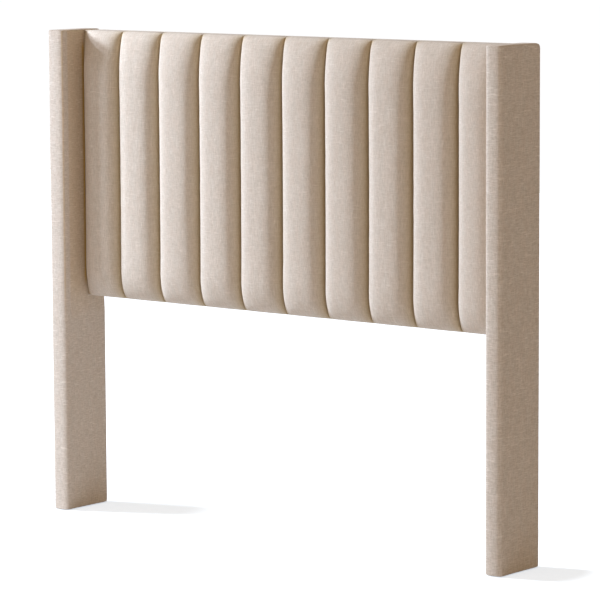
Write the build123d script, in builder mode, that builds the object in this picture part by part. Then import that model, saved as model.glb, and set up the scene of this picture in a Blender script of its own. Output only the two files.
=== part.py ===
from build123d import *
from math import asin, cos, pi, sin, sqrt
import os

os.makedirs("parts", exist_ok=True)

# Upholstered headboard: a panel of upright padded channels between two wings that are its legs.
# Lengths are in millimetres. X runs along the width, Y from the mattress side to the wall side.
# Z points up. The origin is on the floor, in the middle of the outer box.

# Driving dimensions of the whole headboard
clear_width = 1540
overall_height = 1422
wing_depth = 174
panel_height = 784
panel_step = 3
crown_setback = 55
channel_count = 10

# Upholstery cloth, the slack around what passes a hole, and how far a cut runs past a face
cloth = 1.2
hole_slack = 0.5
fit_slack = 0.05
overrun = 5

# The wing's layers, from the inside out
wing_stock = 28
wing_skin = 3
wing_wadding = 5.8
wing_thickness = wing_stock + 2 * (wing_skin + wing_wadding + cloth)
wing_centre = (clear_width + wing_thickness) / 2
stock_inner = wing_centre - wing_stock / 2
stock_outer = wing_centre + wing_stock / 2

# Nylon glides hold the foot of each wing just off the floor
glide_stand = 2

# The wing's faces from front to back and from foot to top
front = -wing_depth / 2
back = wing_depth / 2
cover_back = back - cloth
frame_front = front + cloth + wing_wadding
frame_back = cover_back - cloth
frame_foot = glide_stand + cloth
frame_top = overall_height - cloth - wing_wadding

# The panel's layers, from the crowns of the channels back to the wall side
board_depth = 67
board_thickness = 6
panel_stock = 38
dust_sheet = 0.8
crown = front + crown_setback
board_front = crown + board_depth
board_back = board_front + board_thickness
panel_back = board_back + panel_stock
panel_top = overall_height - panel_step
panel_bottom = panel_top - panel_height
panel_half = clear_width / 2
timber_top = panel_top - cloth
timber_bottom = panel_bottom + cloth
timber_half = panel_half - cloth

# Widths of the timbers in the panel's frame
panel_rail = 60
end_stile = 38
inner_stile = 60
inner_stile_count = 3

# Bolts between the panel's end stiles and the wings, one above another
bolt_diameter = 8
bolt_length = 75
bolt_count = 3
bolt_end_margin = 100
bolt_hole = bolt_diameter + 2 * hole_slack
bolt_y = (board_back + panel_back) / 2
bolt_low = timber_bottom + panel_rail + bolt_end_margin
bolt_high = timber_top - panel_rail - bolt_end_margin
bolt_step = (bolt_high - bolt_low) / (bolt_count - 1)
bolt_places = [(bolt_y, bolt_low + bolt_step * row) for row in range(bolt_count)]


def save(piece, label):
    """Name a finished piece and write it to its own file."""
    piece.part.label = label
    export_step(piece.part, f"parts/{label}.step")


def timber(side, inner, outer, near, far, low, high):
    """A straight piece between six faces. Inner and outer are distances from the middle."""
    with BuildPart() as piece:
        with BuildSketch(Plane.XY.offset(low)):
            with Locations((side * (inner + outer) / 2, (near + far) / 2)):
                Rectangle(outer - inner, far - near)
        extrude(amount=high - low)
    return piece


def drilled(piece, side, start, depth, diameter):
    """The same piece with the bolts' holes, from start outwards."""
    with BuildPart() as result:
        add(piece.part)
        with BuildSketch(Plane.YZ.offset(side * start)):
            with Locations(*bolt_places):
                Circle(diameter / 2)
        extrude(amount=side * depth, mode=Mode.SUBTRACT)
    return result


# The covered wing's outside form: the upright front edges roll most, after the rear top corner.
front_roll = 9
edge_roll = 4
rear_top_corner = 15
rear_foot_corner = 7


def wing_form(side, inset):
    """The rounded form of a covered wing, drawn in by inset on every face."""
    near = front + inset
    far = cover_back - inset
    low = glide_stand + inset
    high = overall_height - inset
    half = wing_thickness / 2 - inset
    with BuildPart() as form:
        with BuildSketch(Plane.YZ.offset(side * wing_centre - half)) as side_view:
            with BuildLine():
                Polyline((far, low), (near, low), (near, high), (far, high), close=True)
            make_face()
            rear_corners = side_view.vertices().group_by(Axis.X)[-1].sort_by(Axis.Y)
            fillet(rear_corners[0], rear_foot_corner - inset)
            fillet(rear_corners[1], rear_top_corner - inset)
        extrude(amount=2 * half)
        fillet(form.edges().filter_by(Axis.Z).group_by(Axis.Y)[0], front_roll - inset)
        outline = form.faces().filter_by(Axis.Z).edges()
        smooth_ends = outline.filter_by(Axis.X).filter_by_position(Axis.Y, 0, far)
        fillet([edge for edge in outline if edge not in smooth_ends], edge_roll - inset)
    return form


# A wing's frame is a softwood ladder: two stiles on edge with three rails between them.
front_stile = 45
rear_stile = 62
wing_rail = 60
foot_rail = 90
front_stile_back = frame_front + front_stile
rear_stile_front = frame_back - rear_stile

# A glide is a nylon disc with a nail, knocked into the foot of each stile.
glide_diameter = 18
glide_inset = 20
glide_edge = 0.6
glide_nail = 2.4
glide_nail_length = 14
glide_places = [frame_front + glide_inset, frame_back - glide_inset]

# A T-nut's flange is let in flush behind the rear stile, and its barrel points at the panel.
t_nut_flange = 22
t_nut_flange_thickness = 1.5
t_nut_barrel = 10
t_nut_length = 11


def eased(side, inner, outer, near, far):
    """A full-height piece of the wing's frame, its corners eased to the inside of the cover."""
    with BuildPart() as piece:
        add(timber(side, inner, outer, near, far, frame_foot, frame_top).part)
        add(wing_form(side, cloth).part, mode=Mode.INTERSECT)
    return piece


def wing_stile(side, near, far, nail_y):
    """An upright of the wing's frame, with the hole of its glide's nail in the foot."""
    with BuildPart() as piece:
        add(eased(side, stock_inner, stock_outer, near, far).part)
        with BuildSketch(Plane.XY.offset(frame_foot)):
            with Locations((side * wing_centre, nail_y)):
                Circle(glide_nail / 2 + fit_slack)
        extrude(amount=glide_nail_length + fit_slack, mode=Mode.SUBTRACT)
    return piece


def bolted_stile(side):
    """The rear upright, drilled for the bolts and recessed for the T-nuts."""
    piece = wing_stile(side, rear_stile_front, frame_back, glide_places[1])
    piece = drilled(piece, side, stock_inner, wing_stock, bolt_hole)
    barrel_start = stock_outer - t_nut_length - fit_slack
    piece = drilled(piece, side, barrel_start, wing_stock, t_nut_barrel + 2 * fit_slack)
    flange_start = stock_outer - t_nut_flange_thickness
    return drilled(piece, side, flange_start, wing_stock, t_nut_flange + 2 * fit_slack)


def cross_rail(side, low, high):
    """A rail between the two stiles of a wing."""
    return timber(side, stock_inner, stock_outer, front_stile_back, rear_stile_front, low, high)


def hardboard_skin(side, inner):
    """A hardboard sheet over one face of the wing's frame."""
    return eased(side, inner, inner + wing_skin, frame_front, frame_back)


def t_nuts(side):
    """The T-nuts of one wing, one for each bolt."""
    with BuildPart() as nuts:
        for start, length, diameter in (
            (stock_outer - t_nut_length, t_nut_length, t_nut_barrel),
            (stock_outer - t_nut_flange_thickness, t_nut_flange_thickness, t_nut_flange),
        ):
            with BuildSketch(Plane.YZ.offset(side * start)):
                with Locations(*bolt_places):
                    Circle(diameter / 2)
            extrude(amount=side * length)
        with BuildSketch(Plane.YZ.offset(side * (stock_outer - t_nut_length))):
            with Locations(*bolt_places):
                Circle(bolt_diameter / 2 + fit_slack)
        extrude(amount=side * t_nut_length, mode=Mode.SUBTRACT)
    return nuts


def glides(side):
    """The two nylon glides of one wing, each a disc with its nail."""
    places = [(side * wing_centre, y) for y in glide_places]
    with BuildPart() as discs:
        with BuildSketch(Plane.XY):
            with Locations(*places):
                Circle(glide_diameter / 2)
        extrude(amount=frame_foot)
        chamfer(discs.edges().group_by(Axis.Z)[0], glide_edge)
        with BuildSketch(Plane.XY.offset(frame_foot)):
            with Locations(*places):
                Circle(glide_nail / 2)
        extrude(amount=glide_nail_length)
    return discs


# The cover's turned-in edges at the back and under the foot, and the strip that closes the back
turned_edge = 12
strip_inset = 6
strip_top = overall_height - rear_top_corner - strip_inset
strip_foot = glide_stand + rear_foot_corner + strip_inset


def wing_padding(side):
    """Foam wrap over both skins, the front edge and the top, open at the back and the foot."""
    frame_half = wing_stock / 2 + wing_skin
    with BuildPart() as wrap:
        add(wing_form(side, cloth).part)
        add(timber(
            side, wing_centre - frame_half, wing_centre + frame_half,
            frame_front, back, 0, frame_top,
        ).part, mode=Mode.SUBTRACT)
    return drilled(wrap, side, panel_half, (wing_thickness - wing_stock) / 2, bolt_hole)


def wing_cover(side):
    """Cloth sleeve of the wing, open between its turned-in edges at the back and the foot."""
    opening_half = wing_thickness / 2 - turned_edge
    inner = wing_centre - opening_half
    outer = wing_centre + opening_half
    with BuildPart() as sleeve:
        add(wing_form(side, 0).part)
        add(wing_form(side, cloth).part, mode=Mode.SUBTRACT)
        add(timber(
            side, inner, outer, 0, back, strip_foot + turned_edge, strip_top - turned_edge,
        ).part, mode=Mode.SUBTRACT)
        add(timber(
            side, inner, outer, front + turned_edge, cover_back - turned_edge, 0, frame_foot,
        ).part, mode=Mode.SUBTRACT)
    return drilled(sleeve, side, panel_half - overrun, overrun + cloth, bolt_hole)


def back_strip(side):
    """Strip of the same cloth that closes the back of the wing over the turned-in edges."""
    half = wing_thickness / 2 - strip_inset
    return timber(side, wing_centre - half, wing_centre + half, cover_back, back, strip_foot, strip_top)


for side, hand in ((-1, "left"), (1, "right")):
    save(wing_stile(side, frame_front, front_stile_back, glide_places[0]), f"{hand}_wing_front_stile")
    save(bolted_stile(side), f"{hand}_wing_rear_stile")
    save(cross_rail(side, frame_top - wing_rail, frame_top), f"{hand}_wing_top_rail")
    save(cross_rail(side, panel_bottom - wing_rail / 2, panel_bottom + wing_rail / 2),
         f"{hand}_wing_middle_rail")
    save(cross_rail(side, frame_foot, frame_foot + foot_rail), f"{hand}_wing_foot_rail")
    save(drilled(hardboard_skin(side, stock_inner - wing_skin), side, stock_inner - wing_skin,
                 wing_skin, bolt_hole), f"{hand}_wing_inner_skin")
    save(hardboard_skin(side, stock_outer), f"{hand}_wing_outer_skin")
    save(t_nuts(side), f"{hand}_wing_t_nuts")
    save(glides(side), f"{hand}_wing_glides")
    save(wing_padding(side), f"{hand}_wing_padding")
    save(wing_cover(side), f"{hand}_wing_cover")
    save(back_strip(side), f"{hand}_wing_back_strip")


# The panel's frame: two full-width rails, an end stile at each wing and inner stiles between.
end_stile_inner = timber_half - end_stile
stile_low = timber_bottom + panel_rail
stile_high = timber_top - panel_rail


def panel_timber(inner, outer, low, high):
    """A timber of the panel's frame."""
    return timber(1, inner, outer, board_back, panel_back, low, high)


save(panel_timber(-timber_half, timber_half, stile_high, timber_top), "panel_top_rail")
save(panel_timber(-timber_half, timber_half, timber_bottom, stile_low), "panel_bottom_rail")
save(drilled(panel_timber(-timber_half, -end_stile_inner, stile_low, stile_high),
             -1, end_stile_inner, end_stile, bolt_hole), "panel_left_stile")
save(drilled(panel_timber(end_stile_inner, timber_half, stile_low, stile_high),
             1, end_stile_inner, end_stile, bolt_hole), "panel_right_stile")

inner_stile_pitch = clear_width / (inner_stile_count + 1)
for number in range(inner_stile_count):
    middle = -panel_half + inner_stile_pitch * (number + 1)
    save(panel_timber(middle - inner_stile / 2, middle + inner_stile / 2, stile_low, stile_high),
         f"panel_inner_stile_{number + 1}")

save(timber(1, -timber_half, timber_half, board_front, board_back, timber_bottom, timber_top),
     "panel_face_board")

# Glued triangles stiffen the corners of the frame, against the face board.
corner_leg = 50
corner_block_thickness = 20
with BuildPart() as corner_blocks:
    with BuildSketch(Plane.XZ.offset(-board_back)):
        for across in (-1, 1):
            for corner_z, inward in ((stile_low, 1), (stile_high, -1)):
                with BuildLine():
                    Polyline(
                        (across * end_stile_inner, corner_z),
                        (across * (end_stile_inner - corner_leg), corner_z),
                        (across * end_stile_inner, corner_z + inward * corner_leg),
                        close=True,
                    )
                make_face()
    extrude(amount=-corner_block_thickness)
save(corner_blocks, "panel_corner_blocks")

# Bolt heads and washers bear on the inside of the end stiles.
washer_diameter = 24
washer_thickness = 2
head_across_flats = 13
head_height = 5.3
head_seat = end_stile_inner - washer_thickness
with BuildPart() as washers:
    for side in (-1, 1):
        with BuildSketch(Plane.YZ.offset(side * head_seat)):
            with Locations(*bolt_places):
                Circle(washer_diameter / 2)
                Circle(bolt_hole / 2, mode=Mode.SUBTRACT)
        extrude(amount=side * washer_thickness)
save(washers, "wing_bolt_washers")

with BuildPart() as bolts:
    for side in (-1, 1):
        with BuildSketch(Plane.YZ.offset(side * head_seat)):
            with Locations(*bolt_places):
                Circle(bolt_diameter / 2)
        extrude(amount=side * bolt_length)
        with BuildSketch(Plane.YZ.offset(side * head_seat)):
            with Locations(*bolt_places):
                RegularPolygon(head_across_flats / 2, 6, major_radius=False)
        extrude(amount=-side * head_height)
save(bolts, "wing_bolts")

# Each channel is a foam strip under its own strip of cloth. The crown is a wide arc with tighter
# flanks that turn in to the seams. Beside a wing one wide arc runs from the crown to the wing.
# Towards both ends the crown and the seams roll back to the panel's edges.
channel_width = clear_width / channel_count
seam_depth = 34
wing_seam_depth = 43
top_edge_depth = 54
bottom_edge_depth = 63
end_rise = 3
top_roll = 54
bottom_roll = 110
flank_share = 0.7
roll_shares = (0, 0.3, 0.55, 0.75, 0.88, 0.96, 1)
middle_shares = (0.05, 0.15, 0.5, 0.85, 0.95)


def wing_beside(number):
    """The side on which a channel meets a wing: -1, 1, or 0 for the channels between."""
    return {0: -1, channel_count - 1: 1}.get(number, 0)


def level_bend(across, rise):
    """The middle of an arc that starts level and ends across and rise away."""
    radius = (across**2 + rise**2) / (2 * rise)
    half_turn = asin(across / radius) / 2
    return radius * sin(half_turn), radius * (1 - cos(half_turn))


def draw_half(side, middle, half, rear, crown_y, edge_y, single_arc):
    """Draw one side of a channel's cross-section, from the flat back round to the crown."""
    def place(across, rise):
        return middle + side * across, crown_y + rise

    rise = edge_y - crown_y
    Line(place(half, rear - crown_y), place(half, rise))
    if single_arc:
        ThreePointArc(place(half, rise), place(*level_bend(half, rise)), place(0, 0))
        return
    flank = flank_share * rise
    wide = (half**2 - 2 * half * flank + rise**2) / (2 * (rise - flank))
    turn = asin((half - flank) / (wide - flank))
    join = (wide * sin(turn), wide * (1 - cos(turn)))
    flank_turn = (turn + pi / 2) / 2
    flank_bend = (half - flank + flank * sin(flank_turn), rise - flank * cos(flank_turn))
    ThreePointArc(place(half, rise), place(*flank_bend), place(*join))
    ThreePointArc(place(*join), place(*level_bend(*join)), place(0, 0))


def channel_rows(inset):
    """Height, crown, seam and wing-side seam of each cross-section, from the bottom up."""
    full_low = panel_bottom + bottom_roll
    full_high = panel_top - top_roll
    low_reach = bottom_roll - cloth - inset
    high_reach = top_roll - cloth - inset
    stations = []
    for share in reversed(roll_shares):
        stations.append((full_low - low_reach * share, share, bottom_edge_depth))
    for share in middle_shares:
        stations.append((full_low + (full_high - full_low) * share, 0, bottom_edge_depth))
    for share in roll_shares:
        stations.append((full_high + high_reach * share, share, top_edge_depth))
    rows = []
    for height, share, edge in stations:
        drawn = 1 - sqrt(1 - share**2)
        crown_y = crown + inset + (edge - end_rise - inset) * drawn
        seam_y = crown + seam_depth + (edge - seam_depth) * drawn
        wing_y = crown + wing_seam_depth + (edge - wing_seam_depth) * drawn
        rows.append((height, crown_y, seam_y, wing_y))
    return rows


def channel_form(number, inset, rear):
    """One channel's rounded form, drawn in by inset, with a flat back at rear."""
    middle = -panel_half + channel_width * (number + 1 / 2)
    half = channel_width / 2 - inset
    with BuildPart() as form:
        for height, crown_y, seam_y, wing_y in channel_rows(inset):
            with BuildSketch(Plane.XY.offset(height)):
                with BuildLine():
                    for side in (-1, 1):
                        by_wing = side == wing_beside(number)
                        edge_y = wing_y if by_wing else seam_y
                        draw_half(side, middle, half, rear, crown_y, edge_y, by_wing)
                    Line((middle - half, rear), (middle + half, rear))
                make_face()
        loft()
    return form


# The cloth of an end channel runs on round the end stile and is turned on to the back.
back_turn = 30


def channel_cover(number):
    """The sewn cloth strip of one channel, open at the back where the foam goes in."""
    side = wing_beside(number)
    with BuildPart() as strip:
        add(channel_form(number, 0, board_front).part)
        add(channel_form(number, cloth, board_front + overrun).part, mode=Mode.SUBTRACT)
        if side:
            add(timber(side, timber_half, panel_half, board_front, panel_back,
                       timber_bottom, timber_top).part)
            add(timber(side, panel_half - back_turn, panel_half,
                       panel_back, panel_back + cloth, stile_low, stile_high).part)
    if side:
        return drilled(strip, side, timber_half - overrun, overrun + cloth, bolt_hole)
    return strip


for number in range(channel_count):
    save(channel_form(number, cloth, board_front), f"channel_foam_{number + 1:02d}")
    save(channel_cover(number), f"channel_cover_{number + 1:02d}")


def edge_band(edge_depth, outside, inward):
    """Cloth over the panel's top or underside, from the channels' edge on to the back."""
    inside = outside + inward * cloth
    turned = outside + inward * back_turn
    with BuildPart() as band:
        with BuildSketch(Plane.YZ.offset(-panel_half)):
            with BuildLine():
                Polyline(
                    (crown + edge_depth, outside),
                    (panel_back + cloth, outside),
                    (panel_back + cloth, turned),
                    (panel_back, turned),
                    (panel_back, inside),
                    (crown + edge_depth, inside),
                    close=True,
                )
            make_face()
        extrude(amount=clear_width)
    return band


save(edge_band(top_edge_depth, panel_top, -1), "panel_top_band")
save(edge_band(bottom_edge_depth, panel_bottom, 1), "panel_bottom_band")

# The dust cover is stapled over the turned edges, a little inside the panel's outline.
dust_inset = 10
save(timber(1, dust_inset - panel_half, panel_half - dust_inset,
            panel_back + cloth, panel_back + cloth + dust_sheet,
            panel_bottom + dust_inset, panel_top - dust_inset), "panel_dust_cover")
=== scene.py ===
from math import asin, cos, dist, exp, pi, radians, sin, sqrt

import bmesh
import bpy
from mathutils import Matrix, Vector, noise


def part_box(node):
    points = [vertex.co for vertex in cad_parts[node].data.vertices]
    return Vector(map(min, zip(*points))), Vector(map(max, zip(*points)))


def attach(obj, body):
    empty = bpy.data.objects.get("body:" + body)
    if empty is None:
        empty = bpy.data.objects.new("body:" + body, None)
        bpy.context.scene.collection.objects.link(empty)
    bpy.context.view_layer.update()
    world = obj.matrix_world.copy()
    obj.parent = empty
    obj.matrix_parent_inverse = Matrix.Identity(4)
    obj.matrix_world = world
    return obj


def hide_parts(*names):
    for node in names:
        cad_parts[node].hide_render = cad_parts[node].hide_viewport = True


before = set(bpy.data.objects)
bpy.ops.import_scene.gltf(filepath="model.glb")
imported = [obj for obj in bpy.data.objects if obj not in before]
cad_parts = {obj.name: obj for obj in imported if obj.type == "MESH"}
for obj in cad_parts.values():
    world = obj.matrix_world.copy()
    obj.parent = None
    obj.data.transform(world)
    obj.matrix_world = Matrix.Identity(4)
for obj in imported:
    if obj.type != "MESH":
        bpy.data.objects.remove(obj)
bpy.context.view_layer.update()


# The camera stands to the front right of the headboard, a little above it, with a long lens.
# Its place was solved from the corners of both wings.
def put_in_scene(name, data):
    """A new object with that data, in the scene."""
    made = bpy.data.objects.new(name, data)
    bpy.context.scene.collection.objects.link(made)
    return made


camera_place = Vector((6.1273, -7.370, 1.8727))
camera_azimuth = radians(39.477)
camera_height = radians(7.103)
camera_roll = radians(-0.29)
camera_data = bpy.data.cameras.new("camera")
camera_data.lens = 205.4
camera_data.sensor_width = 36
camera_data.clip_end = 200
camera = put_in_scene("camera", camera_data)
bpy.context.scene.camera = camera
backwards = Vector((
    sin(camera_azimuth) * cos(camera_height),
    -cos(camera_azimuth) * cos(camera_height),
    sin(camera_height),
))
level = Vector((cos(camera_azimuth), sin(camera_azimuth), 0))
upright = backwards.cross(level)
rightwards = level * cos(camera_roll) + upright * sin(camera_roll)
upwards = upright * cos(camera_roll) - level * sin(camera_roll)
turn = Matrix((rightwards, upwards, backwards)).transposed()
camera.matrix_world = Matrix.Translation(camera_place) @ turn.to_4x4()
bpy.context.scene.view_settings.view_transform = "Standard"


# A plain pale floor and studio light: a far lamp high on the left that throws the shadows, a
# near one on the left that falls off across the channels, one for the left wing by itself, and a
# dim, warm room all round. The floor also glows for the camera, as painted light that is dimmer
# round each foot, so the shadows show there and are washed out a little past each foot.
def new_material(name):
    """An empty node material, with its tree and its output."""
    made = bpy.data.materials.new(name)
    made.use_nodes = True
    made.node_tree.nodes.clear()
    output = made.node_tree.nodes.new("ShaderNodeOutputMaterial")
    return made, made.node_tree, output


def add_math(tree, operation, first, second=None):
    """A Math node; an input is a socket or a number."""
    made = tree.nodes.new("ShaderNodeMath")
    made.operation = operation
    for place, value in enumerate((first, second)):
        if value is None:
            continue
        if isinstance(value, (int, float)):
            made.inputs[place].default_value = value
        else:
            tree.links.new(value, made.inputs[place])
    return made.outputs[0]


def seen_ray(tree):
    """1 for rays from the camera, from gloss or through glass, and 0 for the rest."""
    path = tree.nodes.new("ShaderNodeLightPath")
    either = add_math(tree, "MAXIMUM", path.outputs["Is Camera Ray"], path.outputs["Is Glossy Ray"])
    return add_math(tree, "MAXIMUM", either, path.outputs["Is Transmission Ray"])


def lamp(name, place, aim, size, power, colour):
    """A round lamp at a place, turned towards its aim."""
    light = bpy.data.lights.new(name, "AREA")
    light.shape = "DISK"
    light.size = size
    light.energy = power
    light.color = colour
    made = put_in_scene(name, light)
    made.location = place
    made.rotation_euler = (Vector(aim) - Vector(place)).to_track_quat("-Z", "Y").to_euler()
    return made


def grid_faces(columns, rows):
    """The square faces of a grid whose points are listed row by row."""
    wide = columns + 1
    corners = [row * wide + column for row in range(rows) for column in range(columns)]
    return [(corner, corner + 1, corner + wide + 1, corner + wide) for corner in corners]


world = bpy.data.worlds.new("studio")
bpy.context.scene.world = world
world.use_nodes = True
sky = world.node_tree
sky.nodes.clear()
sky_output = sky.nodes.new("ShaderNodeOutputWorld")
room = sky.nodes.new("ShaderNodeBackground")
facing = sky.nodes.new("ShaderNodeTexCoord")
towards = sky.nodes.new("ShaderNodeVectorMath")
towards.operation = "DOT_PRODUCT"
towards.inputs[1].default_value = (0.30, -0.62, 0.73)
sky.links.new(facing.outputs["Generated"], towards.inputs[0])
brighter = sky.nodes.new("ShaderNodeMapRange")
brighter.inputs["From Min"].default_value = -0.45
brighter.inputs["From Max"].default_value = 0.85
sky.links.new(towards.outputs["Value"], brighter.inputs["Value"])
walls = sky.nodes.new("ShaderNodeMix")
walls.data_type = "RGBA"
walls.inputs[6].default_value = (0.135, 0.094, 0.053, 1)
walls.inputs[7].default_value = (0.470, 0.368, 0.253, 1)
sky.links.new(brighter.outputs["Result"], walls.inputs[0])
sky.links.new(walls.outputs[2], room.inputs["Color"])
white = sky.nodes.new("ShaderNodeBackground")
white.inputs["Color"].default_value = (1, 1, 1, 1)
white.inputs["Strength"].default_value = 1.02
choose = sky.nodes.new("ShaderNodeMixShader")
sky.links.new(seen_ray(sky), choose.inputs[0])
sky.links.new(room.outputs[0], choose.inputs[1])
sky.links.new(white.outputs[0], choose.inputs[2])
sky.links.new(choose.outputs[0], sky_output.inputs[0])

sun = bpy.data.lights.new("high left lamp", "SUN")
sun.energy = 1.58
sun.angle = radians(3)
sun.color = (0.83, 0.96, 1.14)
sun_lamp = put_in_scene("high left lamp", sun)
sun_lamp.rotation_euler = Vector((0.80, 0.27, -0.51)).to_track_quat("-Z", "Y").to_euler()
left_lamp = lamp(
    "left lamp", place=(-3.0, -1.15, 2.3), aim=(-0.3, 0, 1.0),
    size=0.5, power=104, colour=(0.83, 0.96, 1.10))
wing_lamp = lamp(
    "lamp on the left wing", place=(-1.75, -2.7, 2.2), aim=(-0.8, 0, 1.0),
    size=0.5, power=54, colour=(0.83, 0.96, 1.12))

floor_half = 9.0
floor_squares = 6
floor_lines = [(2 * line / floor_squares - 1) * floor_half for line in range(floor_squares + 1)]
floor_points = [(x, y, 0) for y in floor_lines for x in floor_lines]
floor_mesh = bpy.data.meshes.new("floor")
floor_mesh.from_pydata(floor_points, [], grid_faces(floor_squares, floor_squares))
floor = put_in_scene("floor", floor_mesh)
floor_paint, tree, output = new_material("pale floor")
matt = tree.nodes.new("ShaderNodeBsdfDiffuse")
matt.inputs["Color"].default_value = (0.80, 0.80, 0.80, 1)
glow = tree.nodes.new("ShaderNodeEmission")
glow.inputs["Color"].default_value = (0.81, 0.90, 1, 1)
# Painted light: the floor's glow is weaker within a reach of each foot and full beyond it.
on_floor = tree.nodes.new("ShaderNodeTexCoord")
nearest = None
for foot, spread in (((-0.75, 0.04, 0), 1), ((0.83, 0.04, 0), 0.5)):
    away = tree.nodes.new("ShaderNodeVectorMath")
    away.operation = "DISTANCE"
    away.inputs[1].default_value = foot
    tree.links.new(on_floor.outputs["Object"], away.inputs[0])
    reach = add_math(tree, "DIVIDE", away.outputs["Value"], spread)
    nearest = reach if nearest is None else add_math(tree, "MINIMUM", nearest, reach)
fade = tree.nodes.new("ShaderNodeMapRange")
fade.interpolation_type = "SMOOTHSTEP"
fade.inputs["From Min"].default_value = 0.26
fade.inputs["From Max"].default_value = 0.40
fade.inputs["To Min"].default_value = 0.69
fade.inputs["To Max"].default_value = 1.02
tree.links.new(nearest, fade.inputs["Value"])
lift = add_math(tree, "MULTIPLY", seen_ray(tree), fade.outputs["Result"])
tree.links.new(lift, glow.inputs["Strength"])
both = tree.nodes.new("ShaderNodeAddShader")
tree.links.new(matt.outputs[0], both.inputs[0])
tree.links.new(glow.outputs[0], both.inputs[1])
tree.links.new(both.outputs[0], output.inputs[0])
floor.data.materials.append(floor_paint)


# Each wing is a flat ladder frame with hardboard on both faces, wrapped in thin wadding and
# pulled into a linen sleeve. The front edges roll over the wadding, the top and foot are crisper,
# and the rear corners are rounded off. Each inner face has painted shade along the panel's seam,
# and the left one's inner face has painted warm bounce light from the channels.
def mixed(tree, share, first, second, blend="MIX"):
    """A colour mix; first and second are sockets or colours."""
    made = tree.nodes.new("ShaderNodeMix")
    made.data_type = "RGBA"
    made.blend_type = blend
    sockets = [made.inputs[0], made.inputs[6], made.inputs[7]]
    for socket, value in zip(sockets, (share, first, second)):
        if isinstance(value, (int, float)):
            socket.default_value = value
        elif isinstance(value, tuple):
            socket.default_value = (*value, 1)
        else:
            tree.links.new(value, socket)
    return made.outputs[2]


def banded(tree, value, low, high):
    """value spread so that low becomes 0 and high becomes 1."""
    made = tree.nodes.new("ShaderNodeMapRange")
    made.interpolation_type = "SMOOTHSTEP"
    made.inputs["From Min"].default_value = low
    made.inputs["From Max"].default_value = high
    tree.links.new(value, made.inputs["Value"])
    return made.outputs["Result"]


def cloud(tree, place, scale, detail, roughness=0.5, distortion=0):
    """Cloudy noise over a place."""
    made = tree.nodes.new("ShaderNodeTexNoise")
    made.inputs["Scale"].default_value = scale
    made.inputs["Detail"].default_value = detail
    made.inputs["Roughness"].default_value = roughness
    made.inputs["Distortion"].default_value = distortion
    tree.links.new(place, made.inputs["Vector"])
    return made.outputs["Fac"]


def streaks(tree, across, along, piece, across_per_m, along_per_m, low, high, detail=1):
    """Noise drawn out along the threads of one direction, banded from low to high."""
    spot = tree.nodes.new("ShaderNodeCombineXYZ")
    tree.links.new(add_math(tree, "MULTIPLY", across, across_per_m), spot.inputs[0])
    tree.links.new(add_math(tree, "MULTIPLY", along, along_per_m), spot.inputs[1])
    tree.links.new(add_math(tree, "MULTIPLY", piece, 7.3), spot.inputs[2])
    return banded(tree, cloud(tree, spot.outputs[0], 1, detail, roughness=0.6), low, high)


def surface(tree, output, colour, height, strength, distance, roughness):
    """The finished surface: a colour with a relief of that height."""
    relief = tree.nodes.new("ShaderNodeBump")
    relief.inputs["Strength"].default_value = strength
    relief.inputs["Distance"].default_value = distance
    tree.links.new(height, relief.inputs["Height"])
    shader = tree.nodes.new("ShaderNodeBsdfPrincipled")
    shader.inputs["Roughness"].default_value = roughness
    tree.links.new(colour, shader.inputs["Base Color"])
    tree.links.new(relief.outputs["Normal"], shader.inputs["Normal"])
    tree.links.new(shader.outputs[0], output.inputs[0])
    return shader


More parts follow.
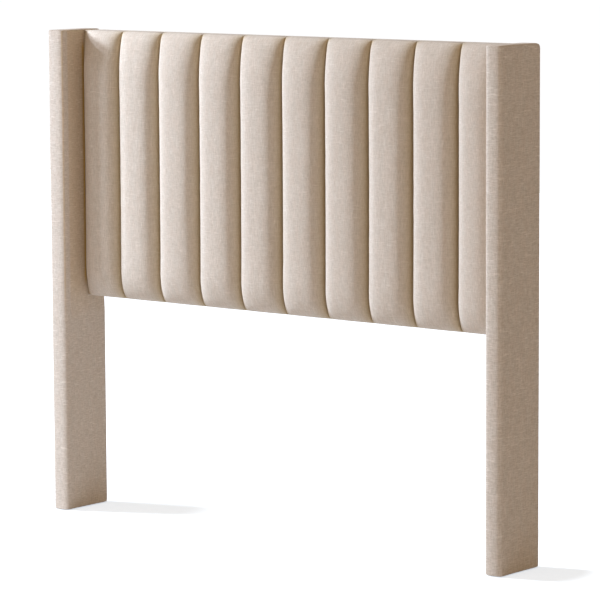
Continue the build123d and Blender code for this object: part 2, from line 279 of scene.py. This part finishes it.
def linen(name, upright_share, level_share, painted_shade_colour):
    """Plain-weave linen blend with slubs; the shares say how strongly each thread shows."""
    made, tree, output = new_material(name)
    run = tree.nodes.new("ShaderNodeAttribute")
    run.attribute_name = "cloth_run"
    parts = tree.nodes.new("ShaderNodeSeparateXYZ")
    tree.links.new(run.outputs["Vector"], parts.inputs[0])
    across, along, piece = parts.outputs[0], parts.outputs[1], parts.outputs[2]

    upright_slubs = streaks(tree, across, along, piece, 440, 52, 0.40, 0.60)
    level_slubs = streaks(tree, along, across, piece, 420, 52, 0.40, 0.60)
    fine_upright = streaks(tree, across, along, piece, 700, 110, 0.36, 0.64)
    fine_level = streaks(tree, along, across, piece, 640, 110, 0.36, 0.64)
    other_piece = add_math(tree, "ADD", piece, 5.5)
    upright_lines = streaks(tree, across, along, other_piece, 300, 26, 0.63, 0.69)
    level_lines = streaks(tree, along, across, other_piece, 300, 26, 0.63, 0.69)
    heather = streaks(tree, across, along, piece, 60, 22, 0.36, 0.64, detail=3)
    cloudy = streaks(tree, across, along, piece, 12, 7, 0.3, 0.7, detail=2)

    tone = 0.5
    for value, share in (
        (upright_slubs, upright_share * 0.8), (level_slubs, level_share * 0.8),
        (fine_upright, upright_share * 0.5), (fine_level, level_share * 0.5), (cloudy, 0.02),
    ):
        swing = add_math(tree, "SUBTRACT", value, 0.5)
        tone = add_math(tree, "ADD", tone, add_math(tree, "MULTIPLY", swing, share))
    for value, share in ((upright_lines, upright_share * 0.8), (level_lines, level_share * 1.1)):
        tone = add_math(tree, "ADD", tone, add_math(tree, "MULTIPLY", value, share))
    ground = mixed(tree, tone, (0.505, 0.415, 0.340), (0.895, 0.805, 0.740))
    tint = mixed(tree, heather, (1.0, 0.985, 0.975), (0.98, 0.985, 0.985))
    ground = mixed(tree, 1.0, ground, tint, "MULTIPLY")
    # Painted shade: where a point lies in a fold or in shade, its colour is mixed towards a dark,
    # warm colour.
    painted_shade = tree.nodes.new("ShaderNodeAttribute")
    painted_shade.attribute_name = "painted_shade"
    ground = mixed(tree, painted_shade.outputs["Fac"], ground, painted_shade_colour)

    thread = 0.0007
    warp_wave = add_math(tree, "SINE", add_math(tree, "MULTIPLY", across, pi / thread))
    weft_wave = add_math(tree, "SINE", add_math(tree, "MULTIPLY", along, pi / thread))
    weave = add_math(tree, "MULTIPLY", warp_wave, weft_wave)
    height = add_math(tree, "MULTIPLY", weave, 0.5)
    height = add_math(tree, "ADD", height, add_math(tree, "MULTIPLY", upright_slubs, upright_share))
    height = add_math(tree, "ADD", height, add_math(tree, "MULTIPLY", level_slubs, level_share))
    shader = surface(tree, output, ground, height, strength=0.45, distance=0.0003, roughness=0.92)
    shader.inputs["Specular IOR Level"].default_value = 0.15
    shader.inputs["Sheen Weight"].default_value = 0.22
    shader.inputs["Sheen Roughness"].default_value = 0.45
    shader.inputs["Sheen Tint"].default_value = (1.0, 0.97, 0.93, 1)
    return made


def add_piece(name, points, faces, material, threads=None, painted_shade_levels=None):
    """A closed, smooth piece of the headboard. threads gives each point's place in its cloth,
    and the last argument how strongly painted shade darkens its colour there."""
    mesh = bpy.data.meshes.new(name)
    mesh.from_pydata(points, [], faces)
    shell = bmesh.new()
    shell.from_mesh(mesh)
    bmesh.ops.recalc_face_normals(shell, faces=shell.faces)
    shell.to_mesh(mesh)
    shell.free()
    if threads:
        run = mesh.attributes.new("cloth_run", "FLOAT_VECTOR", "POINT")
        run.data.foreach_set("vector", [value for thread in threads for value in thread])
    if painted_shade_levels:
        folded = mesh.attributes.new("painted_shade", "FLOAT", "POINT")
        folded.data.foreach_set("value", painted_shade_levels)
    mesh.shade_smooth()
    mesh.materials.append(material)
    made = put_in_scene(name, mesh)
    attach(made, "root")
    return made


def tube_faces(ring_count, count):
    """The faces of a tube through rings of count points, and of its flat ends."""
    faces = []
    for row in range(ring_count - 1):
        for place in range(count):
            following = (place + 1) % count
            faces.append((
                row * count + place, row * count + following,
                (row + 1) * count + following, (row + 1) * count + place,
            ))
    faces.append(tuple(reversed(range(count))))
    faces.append(tuple(range((ring_count - 1) * count, ring_count * count)))
    return faces


pattern_shift_across = 0.37
pattern_shift_along = 0.61


def lofted(name, rings, start, runs, material, painted_shade_levels=None):
    """A linen piece through rings of points. runs gives, for each ring, how far across and along
    the cloth its points lie; start tells the pieces' patterns apart."""
    points = [point for ring in rings for point in ring]
    threads = [
        (across + pattern_shift_across * start, along + pattern_shift_along * start, start)
        for run in runs for across, along in run
    ]
    faces = tube_faces(len(rings), len(rings[0]))
    return add_piece(name, points, faces, material, threads, painted_shade_levels)


def between(first, last, steps):
    """The inner points of a straight run."""
    return [
        tuple(a + (b - a) * step / steps for a, b in zip(first, last))
        for step in range(1, steps)
    ]


def lengths_along(line):
    """How far along a line each of its points lies."""
    lengths = [0]
    for before, after in zip(line, line[1:]):
        lengths.append(lengths[-1] + dist(before, after))
    return lengths


def ramp(distance, reach):
    """0 where the distance starts, rising evenly to 1 at the reach."""
    return min(max(distance / reach, 0), 1)


def from_frame(size):
    """A size worked out from the frame, to a tenth of a millimetre."""
    return round(size, 4)


nose_depth = 0.020
nose_fullness = 5
nose_crown = 0.0025
nose_proud = 0.0035
nose_swell = 0.0015
nose_fade = 0.020
nose_steps = 22
rear_roll = 0.003
rear_steps = 3
rear_roll_steps = 4
face_steps = 34


def wing_outline(x0, x1, front, rear):
    """The wing's plan, from the middle of its back round by its +X face, its front and -X face.
    The front is a padded nose, nearly flat across, that rounds into both faces."""
    middle = (x0 + x1) / 2
    half = (x1 - x0) / 2
    roll_x, roll_y = x1 - rear_roll, rear - rear_roll
    right_side = [(middle, rear)] + between((middle, rear), (roll_x, rear), rear_steps)
    for step in range(rear_roll_steps + 1):
        angle = pi / 2 * step / rear_roll_steps
        right_side.append((roll_x + rear_roll * sin(angle), roll_y + rear_roll * cos(angle)))
    nose_back = front + nose_depth
    for x, y in between((x1, roll_y), (x1, nose_back), face_steps):
        right_side.append((x + nose_swell * exp((nose_back - y) / nose_fade), y))
    for step in range(nose_steps):
        angle = pi / 4 * (1 - cos(pi * step / nose_steps))
        across = cos(angle) ** (2 / nose_fullness)
        forward = sin(angle) ** (2 / nose_fullness)
        right_side.append((
            middle + (half + nose_swell) * across,
            nose_back - nose_depth * forward - nose_crown * forward * (1 - across**2),
        ))
    left_side = [(2 * middle - x, y) for x, y in right_side[:0:-1]]
    return right_side + [(middle, front - nose_crown)] + left_side


# The last colour is painted shade, and on the left wing painted warm bounce light.
wing_linen = linen("linen on the wings", 0.20, 0.25, (0.72, 0.44, 0.07))
panel_bottom = from_frame(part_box("panel_bottom_band")[0].z)
panel_top = from_frame(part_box("panel_top_band")[1].z)
foot_roll = 0.003
foot_roll_steps = 5
side_steps = 138
shoulder_steps = 6
top_roll = 0.004
top_roll_steps = 6
rear_top_corner = 0.015
rear_foot_corner = 0.007
back_proud = 0.0012
back_from = 0.08
softness = 0.0006
plump = 0.0018
press = 0.0004
press_foot = panel_bottom - 0.005
press_foot_fade = 0.040
press_front = -0.026
press_front_fade = 0.030
# Painted shade along the seam where the panel meets each wing's inner face, and painted warm light
# thrown back from the channels on the left one's inner face.
panel_meets = 0.006
shade_share = 0.8
shade_reach = 0.007
shade_foot = panel_bottom + 0.025
shade_top = panel_top - 0.019
shade_fade = 0.03
painted_bounce_share = 0.2
painted_bounce_foot = 0.56
painted_bounce_fade = 0.12
face_tolerance = 0.001
for number, hand in enumerate(("left", "right")):
    low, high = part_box(f"{hand}_wing_cover")
    inner_x = high.x if hand == "left" else low.x
    middle_x = (low.x + high.x) / 2
    half_thickness = from_frame((high.x - low.x) / 2)
    heights = []
    for step in range(foot_roll_steps + 1):
        angle = pi / 2 * step / foot_roll_steps
        heights.append((low.z + foot_roll * (1 - cos(angle)), foot_roll * (1 - sin(angle))))
    side_foot = (low.z + foot_roll, 0)
    side_top = (high.z - rear_top_corner, 0)
    heights += between(side_foot, side_top, side_steps) + [side_top]
    heights += between(side_top, (high.z - top_roll, 0), shoulder_steps)
    for step in range(top_roll_steps + 1):
        angle = pi / 2 * step / top_roll_steps
        heights.append((high.z - top_roll * (1 - sin(angle)), top_roll * (1 - cos(angle))))
    rings = []
    runs = []
    painted_shade_levels = []
    for height, inset in heights:
        rear = high.y
        for past, radius in (
            (height - (high.z - rear_top_corner), rear_top_corner),
            (low.z + rear_foot_corner - height, rear_foot_corner),
        ):
            if past > 0:
                rear -= radius - sqrt(max(radius**2 - past**2, 0))
        outline = wing_outline(
            low.x + inset, high.x - inset, low.y - nose_proud + inset, rear - inset)
        rings.append([(x, y, height) for x, y in outline])
        runs.append([(length, height) for length in lengths_along(outline)])
        # Paint shade beside the panel's seam and, on the left wing, warm bounce light into the
        # inner face's colour.
        beside_panel = (
            ramp(height - shade_foot, shade_fade) * ramp(shade_top - height, shade_fade))
        painted_bounce = painted_bounce_share * ramp(height - painted_bounce_foot, painted_bounce_fade) if hand == "left" else 0
        for x, y in outline:
            shade = shade_share * beside_panel * exp(-((y - panel_meets) / shade_reach) ** 2)
            painted_shade_levels.append(max(painted_bounce, shade) if abs(x - inner_x) < face_tolerance else 0)
    cover = lofted(f"{hand}_wing_linen", rings, number + 20, runs, wing_linen, painted_shade_levels)
    for vertex in cover.data.vertices:
        spot = vertex.co
        waves = noise.noise(Vector((spot.x * 9, spot.y * 9 + number * 31, spot.z * 5)))
        ripples = noise.noise(Vector((spot.x * 40, spot.y * 40 + 17, spot.z * 26 + number * 13)))
        swell = plump + softness * (0.5 * waves + 0.15 * ripples)
        if (spot.x > middle_x) == (hand == "left"):
            below = ramp(press_foot - spot.z, press_foot_fade)
            in_front = ramp(press_front - spot.y, press_front_fade)
            free = max(below, in_front)
            swell = swell * free - press * (1 - free)
        spot.x += swell * (spot.x - middle_x) / half_thickness
        if spot.y > back_from:
            spot.y += back_proud
    if hand == "left":
        spared = bpy.data.collections.new("spared by the left lamp")
        spared.objects.link(cover)
        spared.collection_objects[0].light_linking.link_state = "EXCLUDE"
        left_lamp.light_linking.receiver_collection = spared
        lit = bpy.data.collections.new("lit by the lamp on the left wing")
        lit.objects.link(cover)
        wing_lamp.light_linking.receiver_collection = lit
    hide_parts(f"{hand}_wing_cover", f"{hand}_wing_padding")


# Ten foam strips stand side by side on the face board, each under its own strip of linen. The
# strips are sewn together and the seams are pulled back to the board, so every channel is
# crowned, turns in at its seams, and rolls over at the top and foot of the panel.
# The last colour is painted shade.
channel_linen = linen("linen on the channels", 0.19, 0.13, (0.42, 0.285, 0.060))
clear_width = from_frame(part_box("right_wing_cover")[0].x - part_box("left_wing_cover")[1].x)
channel_count = 10
channel_width = clear_width / channel_count
seam_gap = 0.0003
half_channel = channel_width / 2 - seam_gap
crown = -0.032
board_front = from_frame(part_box("panel_face_board")[0].y)
seam_depth = 0.038
wing_seam_depth = 0.043
top_edge_depth = 0.048
bottom_edge_depth = 0.052
end_rise = 0.003
top_roll_reach = 0.140
top_lean = 0.60
top_turn_from = 0.80
bottom_roll_reach = 0.095
channel_fullness = 2.65
half_steps = 26
board_steps = 3
bottom_steps = 17
straight_steps = 78
top_steps = 23


def half_outline(rise, by_wing):
    """One side of a channel's plan, from its crown out to its seam, as (across, back) pairs."""
    found = []
    if by_wing:
        radius = (half_channel**2 + rise**2) / (2 * rise)
        full_turn = asin(half_channel / radius)
        for step in range(half_steps + 1):
            angle = full_turn * step / half_steps
            found.append((radius * sin(angle), radius * (1 - cos(angle))))
    else:
        for step in range(half_steps + 1):
            angle = pi / 2 * step / half_steps
            found.append((
                half_channel * sin(angle) ** (2 / channel_fullness),
                rise * (1 - cos(angle) ** (2 / channel_fullness)),
            ))
        found[-1] = (half_channel, rise)
    return found


def channel_levels():
    """Height, drawn share and edge depth of every cross-section, from the foot up."""
    found = []
    for step in range(bottom_steps + 1):
        angle = pi / 2 * (1 - step / bottom_steps)
        found.append((
            panel_bottom + bottom_roll_reach * (1 - sin(angle)), 1 - cos(angle), bottom_edge_depth,
        ))
    found += between(
        (panel_bottom + bottom_roll_reach, 0, top_edge_depth),
        (panel_top - top_roll_reach, 0, top_edge_depth), straight_steps)
    for step in range(top_steps + 1):
        angle = pi / 2 * step / top_steps
        share = (sin(angle) ** 2 + 2 * sin(angle)) / 3
        turned = 1 - sqrt(1 - ramp(share - top_turn_from, 1 - top_turn_from) ** 2)
        drawn = top_lean * share**2 + (1 - top_lean) * turned
        found.append((panel_top - top_roll_reach * (1 - share), drawn, top_edge_depth))
    return found


puff = 0.0008
rippling = 0.0004
seam_pull = 0.0007
seam_reach = 0.013
# Painted shade: darker at each seam, and more widely on each channel's right flank, which faces
# away from the lamps; weaker towards the ends.
seam_shade = 0.95
flank_shade = 0.62
flank_reach = 0.030
shade_lost_at_ends = 0.6
front_first = board_steps + 1
front_middle = front_first + half_steps
front_last = front_middle + half_steps
channel_shapes = []
for number in range(channel_count):
    middle = -clear_width / 2 + channel_width * (number + 0.5)
    rings = []
    runs = []
    painted_shade_levels = []
    climbed = 0
    before = None
    for height, drawn, edge in channel_levels():
        crown_y = crown + (edge - end_rise) * drawn
        seam_y = crown + seam_depth + (edge - seam_depth) * drawn
        wing_y = crown + wing_seam_depth + (edge - wing_seam_depth) * drawn
        plumpness = puff * noise.noise(Vector((height * 5, number * 3.7, 0.5)))
        sides = []
        for side in (-1, 1):
            by_wing = (side == -1 and number == 0) or (side == 1 and number == channel_count - 1)
            edge_y = wing_y if by_wing else seam_y
            placed = []
            for across, back in half_outline(edge_y - crown_y, by_wing):
                puckers = noise.noise(Vector((height * 34, number * 5.1 + side, 2.5)))
                pull = seam_pull * exp((across - half_channel) / seam_reach) * (0.5 + 0.5 * puckers)
                ripple = rippling * noise.noise(
                    Vector((across * side * 30, height * 16, number * 9.1)))
                sink = pull - ripple + plumpness * (1 - across / half_channel)
                placed.append((
                    middle + side * (across - pull * (across / half_channel)),
                    crown_y + back + sink * (1 - drawn),
                ))
            sides.append(placed)
        left, right = sides
        board_middle = (middle, board_front)
        board_left = (middle - half_channel, board_front)
        board_right = (middle + half_channel, board_front)
        loop = [board_middle] + between(board_middle, board_left, board_steps) + [board_left]
        loop += left[:0:-1] + right
        loop += [board_right] + between(board_right, board_middle, board_steps)
        lengths = lengths_along(loop)
        # Painted shade at each point of this cross-section, by its distance from the seams.
        shade_round_ring = []
        for (x, y), length in zip(loop, lengths):
            from_seam = min(abs(length - lengths[front_first]), abs(length - lengths[front_last]))
            shade_here = seam_shade * exp(-(from_seam / seam_reach) ** 2)
            if x > middle:
                shade_here = max(shade_here, flank_shade * exp(-(from_seam / flank_reach) ** 2))
            shade_round_ring.append(shade_here * (1 - shade_lost_at_ends * drawn))
        if before:
            climbed += dist(before, (height, crown_y))
        before = (height, crown_y)
        rings.append([(x, y, height) for x, y in loop])
        runs.append([(length - lengths[front_middle], climbed) for length in lengths[::-1]])
        painted_shade_levels += shade_round_ring[::-1]
    channel_shapes.append((middle, rings, runs, painted_shade_levels))

# The cloth over each foam strip is blown out a little between its seams and its ends. It is solved
# on every second point of the channel's front and held at its rim.
blown_frames = 16
blown_most = 0.0022
front_sheets = []
for middle, rings, runs, painted_shade_levels in channel_shapes:
    rows = [ring[front_first:front_last + 1:2] for ring in rings[::2]]
    wide = len(rows[0])
    tall = len(rows)
    mesh = bpy.data.meshes.new("channel front")
    mesh.from_pydata([point for row in rows for point in row], [], grid_faces(wide - 1, tall - 1))
    sheet = put_in_scene("channel front", mesh)
    rim = [
        row * wide + column
        for row in range(tall) for column in range(wide)
        if row in (0, tall - 1) or column in (0, wide - 1)
    ]
    sheet.vertex_groups.new(name="sewn").add(rim, 1, "REPLACE")
    cloth = sheet.modifiers.new("cloth", "CLOTH")
    cloth.settings.quality = 5
    cloth.settings.mass = 0.3
    cloth.settings.tension_stiffness = 15
    cloth.settings.compression_stiffness = 15
    cloth.settings.shear_stiffness = 8
    cloth.settings.bending_stiffness = 0.5
    cloth.settings.vertex_group_mass = "sewn"
    cloth.settings.use_pressure = True
    cloth.settings.uniform_pressure_force = 4
    cloth.settings.effector_weights.gravity = 0
    cloth.point_cache.frame_start = 1
    cloth.point_cache.frame_end = blown_frames
    front_sheets.append(sheet)
for frame_number in range(1, blown_frames + 1):
    bpy.context.scene.frame_set(frame_number)
solved = bpy.context.evaluated_depsgraph_get()
for (middle, rings, runs, painted_shade_levels), sheet in zip(channel_shapes, front_sheets):
    blown = sheet.evaluated_get(solved).data
    moves = []
    for before, after in zip(sheet.data.vertices, blown.vertices):
        move = after.co - before.co
        if move.length > 0:
            move = move * (blown_most * (1 - exp(-move.length / blown_most)) / move.length)
        moves.append(move)
    for row, ring in enumerate(rings):
        lower, upper = row // 2, (row + 1) // 2
        for column, (x, y, z) in enumerate(ring[front_first:front_last + 1]):
            nearer, farther = column // 2, (column + 1) // 2
            move = (
                moves[lower * wide + nearer] + moves[lower * wide + farther]
                + moves[upper * wide + nearer] + moves[upper * wide + farther]
            ) / 4
            x = min(max(x + move.x, middle - half_channel), middle + half_channel)
            ring[front_first + column] = (x, y + move.y, min(z + move.z, panel_top))
for sheet in front_sheets:
    bpy.data.meshes.remove(sheet.data)
bpy.context.scene.frame_set(1)

for number, (middle, rings, runs, painted_shade_levels) in enumerate(channel_shapes, 1):
    channel = lofted(
        f"channel_{number:02d}_padded", [ring[::-1] for ring in rings], number, runs,
        channel_linen, painted_shade_levels)
    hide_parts(f"channel_cover_{number:02d}", f"channel_foam_{number:02d}")


# The top and the underside of the panel are closed by one smooth band of the same linen each,
# folded over the frame and stapled to its back. At both ends the outer channels' cloth turns on
# to the back in the same way.
band_thickness = 0.0012
band_waves = 0.00025


def folded_band(name, path, low_x, high_x, start, steps):
    """A thin strip of cloth along a path of (y, z, outward y, outward z), from low_x to high_x."""
    lengths = lengths_along([(y, z) for y, z, out_y, out_z in path])
    rings = []
    runs = []
    for step in range(steps + 1):
        x = low_x + (high_x - low_x) * step / steps
        outside = []
        inside = []
        for (y, z, out_y, out_z), length in zip(path, lengths):
            wave = band_waves * (noise.noise(Vector((x * 22, length * 30, start))) - 1)
            outside.append((x, y + out_y * wave, z + out_z * wave))
            inside.append((x, y - out_y * band_thickness, z - out_z * band_thickness))
        rings.append(outside + inside[::-1])
        runs.append([(x, length) for length in lengths + lengths[::-1]])
    return lofted(name, rings, start, runs, wing_linen)


panel_rear = from_frame(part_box("panel_top_band")[1].y)
band_gap = 0.0004
band_half = from_frame(clear_width / 2 - band_gap)
band_steps = 120
band_roll = 0.003
band_roll_steps = 6
band_turn = 0.030
tuck = 0.010
tuck_back = 0.005
tuck_drop = 0.0005
tuck_steps = 5
level_steps = 5
turn_steps = 5


def fold_path(front_y, outside, upward):
    """The line of a band from its tucked front edge, over the edge of the frame, down its back."""
    tuck_start = (front_y, outside - upward * tuck_drop, 0, upward)
    tuck_end = (front_y + tuck, outside, 0, upward)
    level_end = (panel_rear - band_roll, outside, 0, upward)
    turn_start = (panel_rear, outside - upward * band_roll, 1, 0)
    turn_end = (panel_rear, outside - upward * band_turn, 1, 0)
    found = [tuck_start] + between(tuck_start, tuck_end, tuck_steps) + [tuck_end]
    found += between(tuck_end, level_end, level_steps)
    for step in range(band_roll_steps + 1):
        angle = pi / 2 * step / band_roll_steps
        found.append((
            panel_rear - band_roll + band_roll * sin(angle),
            outside - upward * band_roll * (1 - cos(angle)),
            sin(angle), upward * cos(angle),
        ))
    return found + between(turn_start, turn_end, turn_steps) + [turn_end]


for label, outside, upward, edge_depth, start in (
    ("top", panel_top, 1, top_edge_depth, 31),
    ("bottom", panel_bottom, -1, bottom_edge_depth, 32),
):
    front_y = crown + edge_depth - tuck_back
    path = fold_path(front_y, outside, upward)
    band = folded_band(f"panel_{label}_linen", path, -band_half, band_half, start, band_steps)
    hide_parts(f"panel_{label}_band")

end_space = 0.0015
end_steps = 60
end_steps_across = 6
end_low = (panel_rear, panel_bottom + band_turn + end_space, 1, 0)
end_high = (panel_rear, panel_top - band_turn - end_space, 1, 0)
end_path = [end_low] + between(end_low, end_high, end_steps) + [end_high]
for side, hand in ((-1, "left"), (1, "right")):
    low_x, high_x = sorted((side * band_half, side * (band_half - band_turn)))
    turned = folded_band(
        f"panel_{hand}_end_linen", end_path, low_x, high_x, 33 + side, end_steps_across)


# A thin black spunbond sheet closes the back of the panel, and a strip of the same linen closes
# the back of each wing. Both are held by staples just inside their edges.
dust_sheet_cloth, tree, output = new_material("black spunbond")
on_sheet = tree.nodes.new("ShaderNodeTexCoord").outputs["Object"]
fibres = banded(tree, cloud(tree, on_sheet, 260, 6), 0.35, 0.65)
dots = tree.nodes.new("ShaderNodeTexVoronoi")
dots.inputs["Scale"].default_value = 420
tree.links.new(on_sheet, dots.inputs["Vector"])
black = mixed(tree, fibres, (0.030, 0.029, 0.030), (0.062, 0.060, 0.060))
surface(
    tree, output, black, dots.outputs["Distance"], strength=0.4, distance=0.0003, roughness=0.75)


def flat_sheet(name, box, material, start, columns, rows, slack, edge_hold):
    """A closed thin sheet that fills its box, with a little slack between its staples."""
    low, high = box
    front_points = []
    back_points = []
    threads = []
    for row in range(rows + 1):
        for column in range(columns + 1):
            x = low.x + (high.x - low.x) * column / columns
            z = low.z + (high.z - low.z) * row / rows
            hold = ramp(min(x - low.x, high.x - x, z - low.z, high.z - z), edge_hold)
            waves = noise.noise(Vector((x * 6, z * 6, start)))
            ripples = noise.noise(Vector((x * 19, z * 19, start)))
            lean = slack * hold * (waves + 0.4 * ripples)
            front_points.append((x, low.y + lean, z))
            back_points.append((x, high.y + lean, z))
            threads.append((x + start, z, start))
    offset = len(front_points)
    faces = []
    for a, b, c, d in grid_faces(columns, rows):
        faces.append((a, b, c, d))
        faces.append((offset + a, offset + d, offset + c, offset + b))
    width = columns + 1
    rim = list(range(columns))
    rim += range(columns, rows * width + columns, width)
    rim += range(rows * width + columns, rows * width, -1)
    rim += range(rows * width, 0, -width)
    for a, b in zip(rim, rim[1:] + rim[:1]):
        faces.append((b, a, offset + a, offset + b))
    return add_piece(
        name, front_points + back_points, faces, material, threads + threads)


low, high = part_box("panel_dust_cover")
dust_cover = flat_sheet(
    "panel_spunbond_sheet", (low, high), dust_sheet_cloth,
    start=41, columns=152, rows=76, slack=0.0004, edge_hold=0.05)
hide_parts("panel_dust_cover")
for number, hand in enumerate(("left", "right")):
    low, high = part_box(f"{hand}_wing_back_strip")
    strip = flat_sheet(
        f"{hand}_wing_closing_strip", (low, high), wing_linen,
        start=42 + number, columns=8, rows=230, slack=0.0002, edge_hold=0.008)
    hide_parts(f"{hand}_wing_back_strip")


# The frames are pine with a plywood face board and hardboard wing skins. The wings stand on
# nailed nylon glides, and zinc-plated bolts and T-nuts hold the panel between them.
grain_length = 18


def wood(name, pale, dark, grain_axis, ring_scale, roughness):
    """Plain sawn wood with grain along one axis."""
    made, tree, output = new_material(name)
    place = tree.nodes.new("ShaderNodeTexCoord")
    stretch = tree.nodes.new("ShaderNodeMapping")
    scale = [ring_scale] * 3
    scale[grain_axis] = ring_scale / grain_length
    stretch.inputs["Scale"].default_value = scale
    tree.links.new(place.outputs["Object"], stretch.inputs["Vector"])
    grain = cloud(tree, stretch.outputs[0], 1, 5, distortion=0.6)
    tone = mixed(tree, banded(tree, grain, 0.35, 0.62), pale, dark)
    surface(tree, output, tone, grain, strength=0.25, distance=0.0004, roughness=roughness)
    return made


def speckled(name, pale, dark, scale, roughness, metallic):
    """An even finish with a fine grain: nylon, hardboard or zinc plate."""
    made, tree, output = new_material(name)
    place = tree.nodes.new("ShaderNodeTexCoord")
    grain = cloud(tree, place.outputs["Object"], scale, 4)
    tone = mixed(tree, banded(tree, grain, 0.3, 0.7), pale, dark)
    shader = surface(
        tree, output, tone, grain, strength=0.15, distance=0.0002, roughness=roughness)
    shader.inputs["Metallic"].default_value = metallic
    return made


pine_level, pine_deep, pine_upright = (
    wood(f"pine, grain {way}", (0.72, 0.54, 0.34), (0.58, 0.39, 0.21), axis, 90, 0.7)
    for axis, way in enumerate(("along the width", "along the depth", "upright"))
)
plywood = wood("plywood face", (0.70, 0.56, 0.38), (0.60, 0.45, 0.28), 0, 60, 0.65)
hardboard = speckled("hardboard", (0.36, 0.24, 0.15), (0.29, 0.19, 0.11), 300, 0.6, 0)
nylon = speckled("white nylon", (0.80, 0.79, 0.76), (0.76, 0.75, 0.71), 500, 0.45, 0)
zinc_steel = speckled("zinc-plated steel", (0.70, 0.71, 0.72), (0.60, 0.61, 0.62), 400, 0.35, 1)
finishes = {
    "_rail": pine_level, "_stile": pine_upright, "_skin": hardboard, "face_board": plywood,
    "corner_blocks": pine_level, "glides": nylon, "t_nuts": zinc_steel, "bolts": zinc_steel,
    "washers": zinc_steel,
}
for name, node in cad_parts.items():
    for ending, finish in finishes.items():
        if ending in name:
            chosen = pine_deep if ending == "_rail" and "_wing_" in name else finish
            node.data.materials.clear()
            node.data.materials.append(chosen)


# Staples of zinc-plated steel wire hold the dust cover's edge to the frame. Each has a flat crown
# ten millimetres wide that lies on the sheet, and they are driven in forty apart.
staple_half = 0.005
staple_wire = 0.0006
staple_sides = 6
staple_leg = 0.0015
staple_shoulder = 0.0002
staple_bend = 0.0006
staple_crown = 0.0008
staple_inset = 0.006
staple_pitch = 0.040
low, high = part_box("panel_dust_cover")
staple_places = []
row_count = round((high.x - low.x) / staple_pitch)
for step in range(row_count):
    x = low.x + (step + 0.5) * (high.x - low.x) / row_count
    staple_places.append((x, low.z + staple_inset, 1, 0))
    staple_places.append((x, high.z - staple_inset, 1, 0))
column_count = round((high.z - low.z) / staple_pitch)
for step in range(column_count):
    z = low.z + (step + 0.5) * (high.z - low.z) / column_count
    staple_places.append((low.x + staple_inset, z, 0, 1))
    staple_places.append((high.x - staple_inset, z, 0, 1))
half_profile = [
    (staple_half - staple_bend, staple_crown), (staple_half, staple_shoulder),
    (staple_half, -staple_leg),
]
profile = [(-across, out) for across, out in half_profile[::-1]] + half_profile
points = []
faces = []
for x, z, along_x, along_z in staple_places:
    first = len(points)
    for across, out in profile:
        for corner in range(staple_sides):
            angle = 2 * pi * corner / staple_sides
            side = staple_wire * cos(angle)
            depth = staple_wire * sin(angle)
            outward, sideways = (depth, 0) if abs(across) < staple_half else (0, depth)
            points.append((
                x + along_x * (across + sideways) + along_z * side,
                high.y + out + outward,
                z + along_z * (across + sideways) + along_x * side,
            ))
    for face in tube_faces(len(profile), staple_sides):
        faces.append(tuple(first + corner for corner in face))
add_piece("dust_cover_staples", points, faces, zinc_steel)
